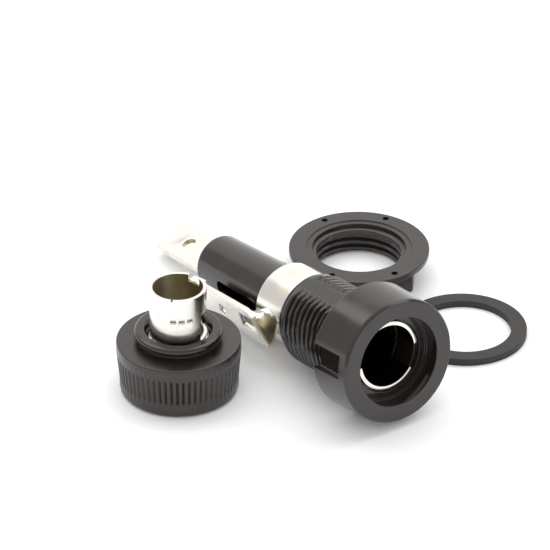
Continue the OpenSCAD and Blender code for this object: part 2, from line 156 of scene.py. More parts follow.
def platedStrip(name, look):
    # Tin plating on rolled brass strip: bright and nearly white, a soft ripple from rolling and
    # plating, duller patches, and a thin straw-coloured tarnish here and there.
    material, tree, place = newMaterial(name)
    patchNoise = noise(tree, place, look["patch"], 4.0)
    ripple = noise(tree, place, look["rippleSize"], 2.0)
    fine = noise(tree, place, 0.18, 2.0)
    tarnish = addNode(tree, "ShaderNodeMapRange",
                      {"From Min": look["tarnishFrom"], "From Max": look["tarnishFrom"] + 0.14,
                       "To Max": 0.75},
                      {"Value": patchNoise.outputs["Fac"]})
    plated = addNode(tree, "ShaderNodeMix",
                     {"data_type": "RGBA", 6: toLinear(look["clean"]), 7: toLinear(look["tarnished"])},
                     {0: tarnish.outputs[0]})
    # where this attribute rises, first bare brass shows, then a brown-grey tone, then black. The brown-grey
    # and the black are painted shade, in the front contact's bore, on the side terminal's ear and inside the
    # clip; on the cut edges it is mostly bare brass
    stainAndShade = addNode(tree, "ShaderNodeAttribute", {"attribute_name": "stainAndShade"}).outputs["Fac"]
    streak = addNode(tree, "ShaderNodeMath", {"operation": "MULTIPLY_ADD", 1: 0.5, 2: -0.25},
                     {0: patchNoise.outputs["Fac"]})
    uneven = addNode(tree, "ShaderNodeMath", {"operation": "ADD"}, {0: stainAndShade, 1: streak.outputs[0]})
    toBrass = addNode(tree, "ShaderNodeMapRange", {"From Min": 0.1, "From Max": 0.5},
                      {"Value": uneven.outputs[0]})
    toFilmAndShade = addNode(tree, "ShaderNodeMapRange", {"From Min": 0.5, "From Max": 1.0},
                     {"Value": uneven.outputs[0]})
    bare = addNode(tree, "ShaderNodeMix", {"data_type": "RGBA", 7: toLinear("#cfc49c")},
                   {0: toBrass.outputs[0], 6: plated.outputs[2]})
    toBlack = addNode(tree, "ShaderNodeMapRange", {"From Min": 1.2, "From Max": 1.6},
                     {"Value": uneven.outputs[0]})
    filmedAndShaded = addNode(tree, "ShaderNodeMix", {"data_type": "RGBA", 7: toLinear("#8f8a80")},
                     {0: toFilmAndShade.outputs[0], 6: bare.outputs[2]})
    colour = addNode(tree, "ShaderNodeMix", {"data_type": "RGBA", 7: toLinear("#16120f")},
                     {0: toBlack.outputs[0], 6: filmedAndShaded.outputs[2]})
    rough = addNode(tree, "ShaderNodeMapRange",
                    {"From Min": 0.3, "From Max": 0.7,
                     "To Min": look["roughLow"], "To Max": look["roughHigh"]},
                    {"Value": patchNoise.outputs["Fac"]})
    rougher = addNode(tree, "ShaderNodeMath", {"operation": "MULTIPLY_ADD", 1: 0.3, "use_clamp": True},
                      {0: stainAndShade, 2: rough.outputs[0]})
    height = addNode(tree, "ShaderNodeMath", {"operation": "MULTIPLY_ADD", 1: 0.12},
                     {0: fine.outputs["Fac"], 2: ripple.outputs["Fac"]})
    bump = addNode(tree, "ShaderNodeBump", {"Strength": look["ripple"], "Distance": 0.03 * mm},
                   {"Height": height.outputs[0]})
    shader = addNode(tree, "ShaderNodeBsdfPrincipled", {"Metallic": 1.0},
                     {"Base Color": colour.outputs[2], "Roughness": rougher.outputs[0],
                      "Normal": bump.outputs["Normal"]})
    addNode(tree, "ShaderNodeOutputMaterial", None, {"Surface": shader.outputs[0]})
    return material


polishedPhenolicMoulding = mouldedThermoset("polishedPhenolicMoulding", {
    "dark": "#15110f", "light": "#231e1c", "dustFrom": 0.8, "scratch": 0.25, "hairWidth": 0.0022,
    "roughLow": 0.13, "roughHigh": 0.2, "grain": 0.25, "ior": 1.62})
satinPhenolicMoulding = mouldedThermoset("satinPhenolicMoulding", {
    "dark": "#17120f", "light": "#26201d", "dustFrom": 0.77, "scratch": 0.9, "hairWidth": 0.0022,
    "roughLow": 0.26, "roughHigh": 0.38, "grain": 0.4, "ior": 1.6})
mouldedNitrileRubber = mouldedThermoset("mouldedNitrileRubber", {
    "dark": "#1c1918", "light": "#2b2827", "dustFrom": 0.76, "scratch": 0.0, "hairWidth": 0.0022,
    "roughLow": 0.5, "roughHigh": 0.62, "grain": 0.8, "ior": 1.5})
tinPlatedBrassStrip = platedStrip("tinPlatedBrassStrip", {
    "clean": "#eceae5", "tarnished": "#ddd3ae", "patch": 3.0, "rippleSize": 0.9, "tarnishFrom": 0.62,
    "roughLow": 0.14, "roughHigh": 0.3, "ripple": 0.05})
drawnSpringSteelWire = platedStrip("drawnSpringSteelWire", {
    "clean": "#c9cacc", "tarnished": "#a9a49c", "patch": 1.5, "rippleSize": 0.5, "tarnishFrom": 0.6,
    "roughLow": 0.22, "roughHigh": 0.34, "ripple": 0.08})
print("materials made")


# Mesh helpers. All sizes are in millimetres until a piece is finished.
def roundedPath(points, closed=False, arcSteps=4):
    # points are (a, b) or (a, b, radius); a corner with a radius becomes an arc
    path = []
    for i, p in enumerate(points):
        radius = p[2] if len(p) > 2 else 0
        if radius == 0 or (not closed and i in (0, len(points) - 1)):
            path.append((p[0], p[1]))
            continue
        corner = Vector(p[:2])
        back = (Vector(points[i - 1][:2]) - corner).normalized()
        ahead = (Vector(points[(i + 1) % len(points)][:2]) - corner).normalized()
        half = back.angle(ahead) / 2
        centre = corner + (back + ahead).normalized() * (radius / math.sin(half))
        first = corner + back * (radius / math.tan(half)) - centre
        last = corner + ahead * (radius / math.tan(half)) - centre
        turn = first.angle(last)
        for k in range(arcSteps + 1):
            t = k / arcSteps
            spoke = (first * math.sin((1 - t) * turn) + last * math.sin(t * turn)) / math.sin(turn)
            path.append(tuple(centre + spoke))
    return path


def supported(path, closed=False, margin=0.03):
    # a point close to each end of a long run keeps its shading flat beside a round edge
    full = []
    count = len(path)
    for i in range(count):
        full.append(path[i])
        if i == count - 1 and not closed:
            break
        a = Vector(path[i])
        b = Vector(path[(i + 1) % count])
        if (b - a).length > 8 * margin:
            step = (b - a).normalized() * margin
            full.append(tuple(a + step))
            full.append(tuple(b - step))
    return full


def lathe(path, steps, closed=False, shape=None):
    # turns the path (radius, height) about Z; shape(angle, radius, height) may change the radius
    turned = bmesh.new()
    rings = []
    for radius, height in path:
        ring = []
        for k in range(steps):
            angle = 2 * math.pi * k / steps
            r = shape(angle, radius, height) if shape else radius
            ring.append(turned.verts.new((r * math.cos(angle), r * math.sin(angle), height)))
        rings.append(ring)
    pairs = list(zip(rings, rings[1:]))
    if closed:
        pairs.append((rings[-1], rings[0]))
    for a, b in pairs:
        for k in range(steps):
            n = (k + 1) % steps
            turned.faces.new((a[k], a[n], b[n], b[k]))
    bmesh.ops.remove_doubles(turned, verts=turned.verts, dist=1e-5)
    return turned


def asObject(mesh, name):
    if isinstance(mesh, bmesh.types.BMesh):
        made = bpy.data.meshes.new(name)
        mesh.to_mesh(made)
        mesh.free()
        mesh = made
    piece = bpy.data.objects.new(name, mesh)
    bpy.context.scene.collection.objects.link(piece)
    return piece


def applied(piece):
    # the evaluated shape becomes the piece's own plain mesh
    graph = bpy.context.evaluated_depsgraph_get()
    graph.update()
    result = bpy.data.meshes.new_from_object(piece.evaluated_get(graph))
    piece.modifiers.clear()
    old = piece.data
    piece.data = result
    if old.users == 0:
        bpy.data.meshes.remove(old)
    return piece


def addModifier(piece, kind, settings):
    modifier = piece.modifiers.new(kind.lower(), kind)
    for key, value in settings.items():
        setattr(modifier, key, value)
    return modifier


def cutAway(piece, cutters):
    for cutter in cutters:
        addModifier(piece, "BOOLEAN", {"object": cutter, "operation": "DIFFERENCE", "solver": "EXACT"})
    applied(piece)
    for cutter in cutters:
        bpy.data.objects.remove(cutter)
    return piece


def block(size, centre, turn=None, soft=0.0):
    # a box with softened edges, turned by a matrix about the origin
    made = bmesh.new()
    bmesh.ops.create_cube(made, size=1)
    bmesh.ops.scale(made, vec=size, verts=made.verts)
    if soft:
        bmesh.ops.bevel(made, geom=made.edges, offset=soft, segments=3, profile=0.5, affect="EDGES")
    bmesh.ops.translate(made, vec=centre, verts=made.verts)
    if turn:
        bmesh.ops.transform(made, matrix=turn, verts=made.verts)
    return made


def flatPlate(outline, holes, thickness, edge, name):
    # a plate cut from strip, with rounded edges, lying in XY about Z = 0
    curve = bpy.data.curves.new(name, "CURVE")
    curve.dimensions = "2D"
    curve.fill_mode = "BOTH"
    curve.extrude = thickness / 2 - edge
    curve.bevel_depth = edge
    curve.bevel_resolution = 2
    curve.offset = -edge
    for loop in [outline] + holes:
        spline = curve.splines.new("POLY")
        spline.points.add(len(loop) - 1)
        spline.use_cyclic_u = True
        for point, (x, y) in zip(spline.points, loop):
            point.co = (x, y, 0, 1)
    piece = bpy.data.objects.new(name, curve)
    bpy.context.scene.collection.objects.link(piece)
    graph = bpy.context.evaluated_depsgraph_get()
    graph.update()
    mesh = bpy.data.meshes.new_from_object(piece.evaluated_get(graph))
    bpy.data.objects.remove(piece)
    made = bmesh.new()
    made.from_mesh(mesh)
    bpy.data.meshes.remove(mesh)
    return made


def circle(x, y, radius, steps=40):
    return [(x + radius * math.cos(2 * math.pi * k / steps), y + radius * math.sin(2 * math.pi * k / steps))
            for k in range(steps)]


def joined(parts):
    # several bmeshes in one
    whole = bmesh.new()
    for part in parts:
        mesh = bpy.data.meshes.new("part")
        part.to_mesh(mesh)
        part.free()
        whole.from_mesh(mesh)
        bpy.data.meshes.remove(mesh)
    return whole


def finish(piece, place, material, body, replaced, sharpAngle=38, stainAndShade=None):
    # merge, face outwards, move to the place on the bench, and hand over to the frame
    mesh = piece.data
    tidy = bmesh.new()
    tidy.from_mesh(mesh)
    bmesh.ops.remove_doubles(tidy, verts=tidy.verts, dist=1e-4)
    bmesh.ops.dissolve_degenerate(tidy, edges=tidy.edges, dist=1e-5)
    bmesh.ops.recalc_face_normals(tidy, faces=tidy.faces)
    if stainAndShade:
        layer = tidy.faces.layers.float.new("stainAndShade")
        for face in tidy.faces:
            face[layer] = stainAndShade(face.calc_center_median(), face.normal)
    bmesh.ops.transform(tidy, matrix=place @ Matrix.Scale(mm, 4), verts=tidy.verts)
    tidy.to_mesh(mesh)
    tidy.free()
    mesh.materials.clear()
    mesh.materials.append(material)
    mesh.polygons.foreach_set("use_smooth", [True] * len(mesh.polygons))
    mesh.set_sharp_from_angle(angle=math.radians(sharpAngle))
    mesh.update()
    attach(piece, body)
    if replaced:
        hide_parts(*replaced)
    return piece


def smoothStep(value):
    t = min(1.0, max(0.0, value))
    return t * t * (3 - 2 * t)


def ridgeHeight(turns, flank, crest):
    # height from 0 to 1 of a thread with these shares of the pitch, by the number of turns
    phase = turns % 1.0
    return smoothStep(min(phase / flank, (2 * flank + crest - phase) / flank))


# the side of the bore that the front contact's leg runs along
legTurn = Matrix.Rotation(math.radians(-70), 4, "Z")

holder = {
    "flangeFront": 8.4, "flangeRear": 8.65, "flangeLength": 7.0,
    "mouth": 6.05, "mouthDepth": 2.5, "ledge": 5.93, "ledgeDepth": 2.1,
    "threadCrest": 6.35, "threadRoot": 5.75, "pitch": 1.058, "threadStart": 7.9, "threadEnd": 18.5,
    "bushingEnd": 19.4, "flat": 5.7, "wornFrom": 8, "wornTo": 74, "neck": 4.83, "neckEnd": 25.2,
    "barrelFront": 4.27, "barrelRear": 3.95, "barrelEnd": 41.8, "innerEnd": 40.6,
    "bore": 3.35, "chamber": 3.55, "chamberStart": 36.7, "sleeveBore": 4.7, "relief": 5.0,
    "keyAngle": 156, "keyWidth": 3.2, "keyLength": 5.4, "keyDepth": 1.1,
    "windowWidth": 2.9, "windowFrom": 27.0, "windowTo": 36.7, "windowRound": 0.8,
    "sleeveEnd": 11.9, "reliefEnd": 3.2, "flank": 0.36, "ridgeTop": 0.12, "wornBy": 0.75, "wornFade": 8,
    "grooveWidth": 2.2, "grooveDepth": 1.2, "grooveLength": 13, "grooveOut": 3.37, "grooveMiddle": 17.4,
    "windowInner": 1, "windowOuter": 6, "columns": 288, "rowStep": 0.08,
}


def makeHolderBody(s):
    front = [
        (0, -s["innerEnd"]), (s["chamber"], -s["innerEnd"]), (s["chamber"], -s["chamberStart"]),
        (s["bore"], -s["chamberStart"]), (s["bore"], -s["sleeveEnd"], 0.08),
        (s["sleeveBore"], -s["sleeveEnd"]), (s["sleeveBore"], -s["reliefEnd"], 0.06),
        (s["relief"], -s["reliefEnd"]), (s["relief"], -s["mouthDepth"], 0.05),
        (s["ledge"], -s["mouthDepth"], 0.05), (s["ledge"], -s["ledgeDepth"], 0.06),
        (s["mouth"], -s["ledgeDepth"]), (s["mouth"], 0, 0.14),
        (s["flangeFront"] - 0.25, 0, 0.08), (s["flangeFront"], -0.26, 0.05),
        (s["flangeFront"] - 0.12, -0.36, 0.04), (s["flangeFront"], -0.47, 0.05),
        (s["flangeRear"], -s["flangeLength"], 0.22), (s["threadCrest"], -s["flangeLength"]),
    ]
    path = supported(roundedPath(front))
    along = s["flangeLength"] + s["rowStep"]
    while along < s["bushingEnd"] - 0.5:
        path.append((s["threadRoot"], -along))
        along += s["rowStep"]
    rear = [
        (s["threadRoot"], -s["bushingEnd"] + 0.4, 0.1), (s["threadRoot"] - 0.4, -s["bushingEnd"], 0.06),
        (s["neck"], -s["bushingEnd"]), (s["neck"], -s["neckEnd"], 0.1), (s["barrelFront"], -s["neckEnd"]),
        (s["barrelRear"], -s["barrelEnd"], 0.25), (0, -s["barrelEnd"]),
    ]
    path += supported(roundedPath([(s["threadRoot"], -along)] + rear))[1:]

    def shape(angle, radius, height):
        back = -height
        if not s["flangeLength"] + 0.01 < back < s["bushingEnd"] + 0.01 or radius < s["neck"] + 0.3:
            return radius
        depth = s["threadCrest"] - s["threadRoot"]
        turns = (back - s["threadStart"]) / s["pitch"] + angle / (2 * math.pi)
        fadeIn = smoothStep((back - s["flangeLength"] - 0.5) / 0.3)
        fadeOut = smoothStep((s["threadEnd"] - back) / 0.5)
        # the crests are low in a sector beside the flat
        degrees = math.degrees(angle)
        worn = smoothStep((degrees - s["wornFrom"]) / s["wornFade"])
        worn *= smoothStep((s["wornTo"] - degrees) / s["wornFade"])
        ridge = ridgeHeight(turns, s["flank"], s["ridgeTop"]) * fadeIn * fadeOut * (1 - s["wornBy"] * worn)
        shoulder = smoothStep((s["flangeLength"] + 0.7 - back) / s["flank"])
        r = radius + depth * max(ridge, shoulder)
        if math.sin(angle) > 0.1:
            r = min(r, s["flat"] / math.sin(angle))
        return r

    piece = asObject(lathe(path, s["columns"], shape=shape), "holder_moulding")
    turnKey = Matrix.Rotation(math.radians(s["keyAngle"]), 4, "Z")
    key = block((3, s["keyWidth"], s["keyLength"] + 1),
                (s["flangeFront"] - s["keyDepth"] + 1.5, 0, -s["flangeLength"] - 0.5 + s["keyLength"] / 2),
                turnKey, soft=0.18)
    half = s["windowWidth"] / 2
    soft = s["windowRound"]
    outline = roundedPath([(-half, -s["windowTo"], soft), (half, -s["windowTo"], soft),
                           (half, -s["windowFrom"], soft), (-half, -s["windowFrom"], soft)], True, 6)
    window = bmesh.new()
    near = [window.verts.new((-s["windowOuter"], a, b)) for a, b in outline]
    far = [window.verts.new((-s["windowInner"], a, b)) for a, b in outline]
    window.faces.new(near)
    window.faces.new(far[::-1])
    for k in range(len(outline)):
        n = (k + 1) % len(outline)
        window.faces.new((near[n], near[k], far[k], far[n]))
    bmesh.ops.recalc_face_normals(window, faces=window.faces)
    # for the front contact's leg
    groove = block((s["grooveDepth"], s["grooveWidth"], s["grooveLength"]),
                   (s["grooveOut"], 0, -s["grooveMiddle"]), legTurn)
    cutAway(piece, [asObject(key, "cutKey"), asObject(window, "cutWindow"), asObject(groove, "cutGroove")])
    return finish(piece, holderPlace, polishedPhenolicMoulding, "holder",
                  ["holder_body"], 32)


makeHolderBody(holder)
print("holder body made")


sleeve = {"radius": 4.44, "strip": 0.52, "front": 2.4, "back": 11.9, "gap": 44, "gapMiddle": -33,
          "slotFrom": 5.4, "slotTo": 7.1, "slotTurn": 50, "legWidth": 2.1, "legLength": 12.1,
          "legOut": 3.7, "legMiddle": 17.75, "stepReach": 1.3, "stepOut": 4.05, "stepAt": 11.75,
          "edge": 0.08, "columns": 180}


def makeFrontContact(s):
    rows = [s["front"], 3.3, 4.4, s["slotFrom"], 6.2, s["slotTo"], 8.3, 9.5, 10.7, s["back"]]
    tube = lathe([(s["radius"], -row) for row in rows], s["columns"])
    gone = []
    for face in tube.faces:
        centre = face.calc_center_median()
        back = -centre.z
        angle = math.degrees(math.atan2(centre.y, centre.x))
        for side in (0, 180):
            past = (angle - s["gapMiddle"] - side + s["gap"] / 2) % 360
            inGap = past < s["gap"] and back < s["slotTo"]
            inSlot = past < s["gap"] + s["slotTurn"] and s["slotFrom"] < back < s["slotTo"]
            if inGap or inSlot:
                gone.append(face)
                break
    bmesh.ops.delete(tube, geom=gone, context="FACES")
    piece = asObject(tube, "front_contact")
    addModifier(piece, "SOLIDIFY", {"thickness": s["strip"], "offset": 0.0})
    addModifier(piece, "BEVEL", {"width": 0.05, "segments": 2, "angle_limit": math.radians(50)})
    applied(piece)
    leg = block((s["strip"], s["legWidth"], s["legLength"]), (s["legOut"], 0, -s["legMiddle"]),
                legTurn, s["edge"])
    step = block((s["stepReach"], s["legWidth"], s["strip"]), (s["stepOut"], 0, -s["stepAt"]),
                 legTurn, s["edge"])
    tubeMesh = bmesh.new()
    tubeMesh.from_mesh(piece.data)
    whole = joined([tubeMesh, leg, step])
    bpy.data.objects.remove(piece)
    piece = asObject(whole, "front_contact")

    def stainAndShade(point, normal):
        # painted shade: the inside of the sleeve is painted black, the front rim keeps the plating's colour
        inside = math.hypot(point.x, point.y) < s["radius"] and -point.z > s["front"] + 0.12
        return 2.0 if inside else 0.0

    return finish(piece, holderPlace, tinPlatedBrassStrip, "holder",
                  ["front_contact_sleeve"], 38, stainAndShade)


makeFrontContact(sleeve)

endTab = {"width": 6.35, "strip": 0.8, "from": 41.9, "to": 54.5, "chamfer": 0.9, "hole": 0.95, "holeAt": 49.7,
          "tongueWidth": 2.6, "tongueStrip": 0.7, "tongueLength": 3.2, "tongueAt": 41.35, "edge": 0.12}


def makeEndTab(s):
    w = s["width"] / 2
    c = s["chamfer"]
    outline = roundedPath([
        (-w, -s["from"], 0.15), (-w, -s["to"] + c, 0.5), (-w + c, -s["to"], 0.5),
        (w - c, -s["to"], 0.5), (w, -s["to"] + c, 0.5), (w, -s["from"], 0.15)], True)
    plate = flatPlate(outline, [circle(0, -s["holeAt"], s["hole"])], s["strip"], s["edge"], "plate")
    tongue = block((s["tongueWidth"], 1.0, s["tongueLength"]), (0, 0, 0), None, 0.06)
    bmesh.ops.scale(tongue, vec=(1, s["tongueStrip"], 1), verts=tongue.verts)
    bmesh.ops.translate(tongue, vec=(0, 0, -s["tongueAt"]), verts=tongue.verts)
    bmesh.ops.transform(plate, matrix=Matrix.Rotation(math.radians(90), 4, "X"), verts=plate.verts)
    piece = asObject(joined([plate, tongue]), "end_tab")

    def stainAndShade(point, normal):
        # cut edges show the brass, most of all inside the hole
        if abs(normal.y) > 0.6:
            return 0.0
        return 0.5 if math.hypot(point.x, point.z + s["holeAt"]) < s["hole"] + 0.1 else 0.15

    return finish(piece, holderPlace, tinPlatedBrassStrip, "holder",
                  ["end_terminal"], 38, stainAndShade)


makeEndTab(endTab)

sideBlade = {"collar": 5.35, "collarStrip": 0.5, "collarFrom": 19.45, "collarTo": 25.15,
             "face": 7.0, "strip": 0.8, "low": -1.9, "high": 3.1, "to": 37.5,
             "foldLow": 20.6, "foldHigh": 23.2, "bendAt": 2.3, "rise": 24.6,
             "edge": 0.1, "slotLow": -0.12, "slotHigh": 2.0, "slotFrom": 23.2, "slotTo": 26.45,
             "holeY": 0.7, "holeAt": 31.1, "hole": 0.75, "leaveHigh": 165, "leaveLow": 147, "web": 0.45}


def makeSideTerminal(s):
    inner = s["collar"] - s["collarStrip"]
    ring = lathe(supported(roundedPath([
        (inner, -s["collarFrom"], 0.08), (s["collar"], -s["collarFrom"], 0.14),
        (s["collar"], -s["collarTo"], 0.14), (inner, -s["collarTo"], 0.08)], True), True), 144, True)
    outline = roundedPath([
        (s["low"], -s["to"] + 0.5, 0.3), (s["low"] + 0.5, -s["to"], 0.3), (s["high"] - 0.5, -s["to"], 0.3),
        (s["high"], -s["to"] + 0.5, 0.3), (s["high"], -s["rise"], 0.4), (s["bendAt"], -s["foldHigh"], 0.4),
        (s["low"], -s["foldLow"], 0.5)], True)
    slotLoop = roundedPath([
        (s["slotLow"], -s["slotTo"], 0.12), (s["slotHigh"], -s["slotTo"], 0.12),
        (s["slotHigh"], -s["slotFrom"] - 0.25, 0.12), (s["slotLow"], -s["slotFrom"] + 0.25, 0.12)], True)
    hole = circle(s["holeY"], -s["holeAt"], s["hole"])
    plate = flatPlate(outline, [slotLoop, hole], s["strip"], s["edge"], "plate")
    stand = Matrix(((0, 0, 1, -s["face"] + s["strip"] / 2), (1, 0, 0, 0), (0, 1, 0, 0), (0, 0, 0, 1)))
    bmesh.ops.transform(plate, matrix=stand, verts=plate.verts)
    # the ear: a sheet that leaves the collar on a slanted crease and bends round into the blade's fold
    ear = bmesh.new()
    rows = []
    blade = -s["face"] + s["strip"] / 2
    rowCount = 8
    stepCount = 10
    radius = s["collar"] - 0.25
    for k in range(rowCount + 1):
        t = k / rowCount
        angle = math.radians(s["leaveHigh"] + (s["leaveLow"] - s["leaveHigh"]) * t)
        onCollar = Vector((radius * math.cos(angle), radius * math.sin(angle),
                           -s["collarTo"] + 0.15 + (s["collarTo"] - s["collarFrom"] - 0.6) * t))
        high = s["high"] - 0.15 + (s["low"] - s["high"] + 0.4) * t
        if high > s["bendAt"]:
            share = (high - s["bendAt"]) / (s["high"] - s["bendAt"])
            fold = -s["foldHigh"] + (s["foldHigh"] - s["rise"]) * share
        else:
            share = (s["bendAt"] - high) / (s["bendAt"] - s["low"])
            fold = -s["foldHigh"] + (s["foldHigh"] - s["foldLow"]) * share
        bend = Vector((blade, high, fold + 0.3))
        onBlade = Vector((blade, high, fold - 0.5))
        row = []
        for j in range(stepCount + 1):
            across = j / stepCount
            row.append(ear.verts.new(onCollar.lerp(bend, across).lerp(bend.lerp(onBlade, across), across)))
        rows.append(row)
    for a, b in zip(rows, rows[1:]):
        for j in range(stepCount):
            ear.faces.new((a[j], a[j + 1], b[j + 1], b[j]))
    bmesh.ops.recalc_face_normals(ear, faces=ear.faces)
    web = asObject(ear, "web")
    addModifier(web, "SUBSURF", {"levels": 1, "render_levels": 1})
    addModifier(web, "SOLIDIFY", {"thickness": s["web"], "offset": 0.0})
    addModifier(web, "BEVEL", {"width": 0.1, "segments": 2, "angle_limit": math.radians(50)})
    applied(web)
    webMesh = bmesh.new()
    webMesh.from_mesh(web.data)
    bpy.data.objects.remove(web)
    piece = asObject(joined([ring, plate, webMesh]), "side_terminal_strip")

    def stainAndShade(point, normal):
        # painted shade on the ear, deeper as y rises, and brass on the cut edges of the blade
        if point.x < -5.0 and -point.z < s["foldHigh"] - 0.3 and abs(normal.x) < 0.95:
            return 0.45 + 0.6 * smoothStep((point.y - 1.0) / 1.4)
        if point.x < -s["face"] + s["strip"] and abs(normal.x) < 0.6:
            return 0.15
        return 0.0

    return finish(piece, holderPlace, tinPlatedBrassStrip, "holder",
                  ["side_terminal"], 38, stainAndShade)


makeSideTerminal(sideBlade)
print("terminals made")


def newTree(name, numbers, takesMesh=True):
    # a node tree with a mesh input, these number inputs and their starting values, and a material input
    tree = bpy.data.node_groups.new(name, "GeometryNodeTree")
    if takesMesh:
        tree.interface.new_socket("Geometry", in_out="INPUT", socket_type="NodeSocketGeometry")
    for socketName, start in numbers.items():
        socket = tree.interface.new_socket(socketName, in_out="INPUT", socket_type="NodeSocketFloat")
        socket.default_value = start
    tree.interface.new_socket("Material", in_out="INPUT", socket_type="NodeSocketMaterial")
    tree.interface.new_socket("Geometry", in_out="OUTPUT", socket_type="NodeSocketGeometry")
    return tree, addNode(tree, "NodeGroupInput")


def closeTree(tree, given, geometry):
    # every tree ends with its instances made real and its material set
    real = addNode(tree, "GeometryNodeRealizeInstances", None, {"Geometry": geometry})
    painted = addNode(tree, "GeometryNodeSetMaterial", None,
                      {"Geometry": real.outputs["Geometry"], "Material": given.outputs["Material"]})
    addNode(tree, "NodeGroupOutput", None, {"Geometry": painted.outputs["Geometry"]})
    return tree


def coilTree():
    # a wire coil with these turns and radii
    tree, given = newTree("coilSpring", {"Turns": 4.0, "Mean Radius": 2.5, "Length": 5.0,
                                         "Wire Radius": 0.25}, takesMesh=False)
    path = addNode(tree, "GeometryNodeCurveSpiral", {"Resolution": 40},
                   {"Rotations": given.outputs["Turns"], "Start Radius": given.outputs["Mean Radius"],
                    "End Radius": given.outputs["Mean Radius"], "Height": given.outputs["Length"]})
    section = addNode(tree, "GeometryNodeCurvePrimitiveCircle", {"Resolution": 14},
                      {"Radius": given.outputs["Wire Radius"]})
    wire = addNode(tree, "GeometryNodeCurveToMesh", {"Fill Caps": True},
                   {"Curve": path.outputs["Curve"], "Profile Curve": section.outputs["Curve"]})
    return closeTree(tree, given, wire.outputs["Mesh"])


def treePiece(mesh, name, tree, values):
    # runs a tree on a mesh with these named inputs and keeps the result as a plain mesh
    piece = asObject(mesh, name)
    modifier = piece.modifiers.new("nodes", "NODES")
    modifier.node_group = tree
    for item in tree.interface.items_tree:
        if item.in_out == "INPUT" and item.name in values:
            modifier[item.identifier] = values[item.name]
    piece.update_tag()
    return applied(piece)


springTree = coilTree()
contactSpring = {"turns": 3.5, "radius": 2.5, "wire": 0.25, "from": 37.7, "to": 40.2, "travel": 1.5}
clipSpring = {"turns": 6.0, "radius": 2.7, "wire": 0.3, "from": 1.22, "to": 7.18, "travel": 1.2}


def makeSpring(s, name, place, body, node, low):
    length = s["to"] - s["from"]
    piece = treePiece(bmesh.new(), name, springTree,
                      {"Turns": s["turns"], "Mean Radius": s["radius"], "Wire Radius": s["wire"],
                       "Length": length - 2 * s["wire"], "Material": drawnSpringSteelWire})
    piece.data.transform(Matrix.Translation((0, 0, low + s["wire"])))
    finish(piece, place, drawnSpringSteelWire, body, [node], 50)
    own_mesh(piece)


makeSpring(contactSpring, "contact_coil", holderPlace, "holder", "contact_spring", -contactSpring["to"])
makeSpring(clipSpring, "clip_coil", capPlace, "cap", "clip_spring", clipSpring["from"])
print("springs made")


knob = {"radius": 8.2, "height": 7.5, "foot": 7.85, "footRound": 0.8, "dish": 5.7, "dishDepth": 0.2,
        "band": 5.85, "flutes": 64, "fluteFoot": 1.9, "sideRows": 28, "leastRadius": 7.0,
        "fluteDepth": 0.26, "fluteEnd": 0.3, "socket": 5.4, "well": 4.3, "wellFloor": 1.2, "bushFoot": 4.2,
        "perFlute": 8}


def fluteTree():
    # presses flutes into the side of a turned knob: deepest on each flute's middle, with round ends
    tree, given = newTree("gripFlutes", {"Flutes": 64.0, "Depth": 0.26, "Foot": 1.9, "Top": 5.85,
                                         "End Round": 0.3, "Least Radius": 7.0})
    where = addNode(tree, "GeometryNodeInputPosition")
    axes = addNode(tree, "ShaderNodeSeparateXYZ", None, {"Vector": where.outputs[0]})
    angle = addNode(tree, "ShaderNodeMath", {"operation": "ARCTAN2"},
                    {0: axes.outputs["Y"], 1: axes.outputs["X"]})
    turned = addNode(tree, "ShaderNodeMath", {"operation": "MULTIPLY"},
                     {0: angle.outputs[0], 1: given.outputs["Flutes"]})
    wave = addNode(tree, "ShaderNodeMath", {"operation": "COSINE"}, {0: turned.outputs[0]})
    lifted = addNode(tree, "ShaderNodeMath", {"operation": "MULTIPLY_ADD", 1: 0.85, 2: 0.15},
                     {0: wave.outputs[0]})
    groove = addNode(tree, "ShaderNodeMath", {"operation": "MAXIMUM", 1: 0.0}, {0: lifted.outputs[0]})
    overFoot = addNode(tree, "ShaderNodeMath", {"operation": "SUBTRACT"},
                       {0: axes.outputs["Z"], 1: given.outputs["Foot"]})
    underTop = addNode(tree, "ShaderNodeMath", {"operation": "SUBTRACT"},
                       {0: given.outputs["Top"], 1: axes.outputs["Z"]})
    nearest = addNode(tree, "ShaderNodeMath", {"operation": "MINIMUM"},
                      {0: overFoot.outputs[0], 1: underTop.outputs[0]})
    share = addNode(tree, "ShaderNodeMath", {"operation": "DIVIDE", "use_clamp": True},
                    {0: nearest.outputs[0], 1: given.outputs["End Round"]})
    ends = addNode(tree, "ShaderNodeMath", {"operation": "SQRT"}, {0: share.outputs[0]})
    flatPlace = addNode(tree, "ShaderNodeCombineXYZ", None, {"X": axes.outputs["X"], "Y": axes.outputs["Y"]})
    radius = addNode(tree, "ShaderNodeVectorMath", {"operation": "LENGTH"}, {0: flatPlace.outputs[0]})
    onSide = addNode(tree, "ShaderNodeMath", {"operation": "GREATER_THAN"},
                     {0: radius.outputs["Value"], 1: given.outputs["Least Radius"]})
    shaped = addNode(tree, "ShaderNodeMath", {"operation": "MULTIPLY"},
                     {0: groove.outputs[0], 1: ends.outputs[0]})
    onlySide = addNode(tree, "ShaderNodeMath", {"operation": "MULTIPLY"},
                       {0: shaped.outputs[0], 1: onSide.outputs[0]})
    depth = addNode(tree, "ShaderNodeMath", {"operation": "MULTIPLY"},
                    {0: onlySide.outputs[0], 1: given.outputs["Depth"]})
    inward = addNode(tree, "ShaderNodeMath", {"operation": "MULTIPLY", 1: -1.0}, {0: depth.outputs[0]})
    outward = addNode(tree, "ShaderNodeVectorMath", {"operation": "NORMALIZE"}, {0: flatPlace.outputs[0]})
    push = addNode(tree, "ShaderNodeVectorMath", {"operation": "SCALE"},
                   {0: outward.outputs[0], "Scale": inward.outputs[0]})
    moved = addNode(tree, "GeometryNodeSetPosition", None,
                    {"Geometry": given.outputs["Geometry"], "Offset": push.outputs[0]})
    return closeTree(tree, given, moved.outputs["Geometry"])


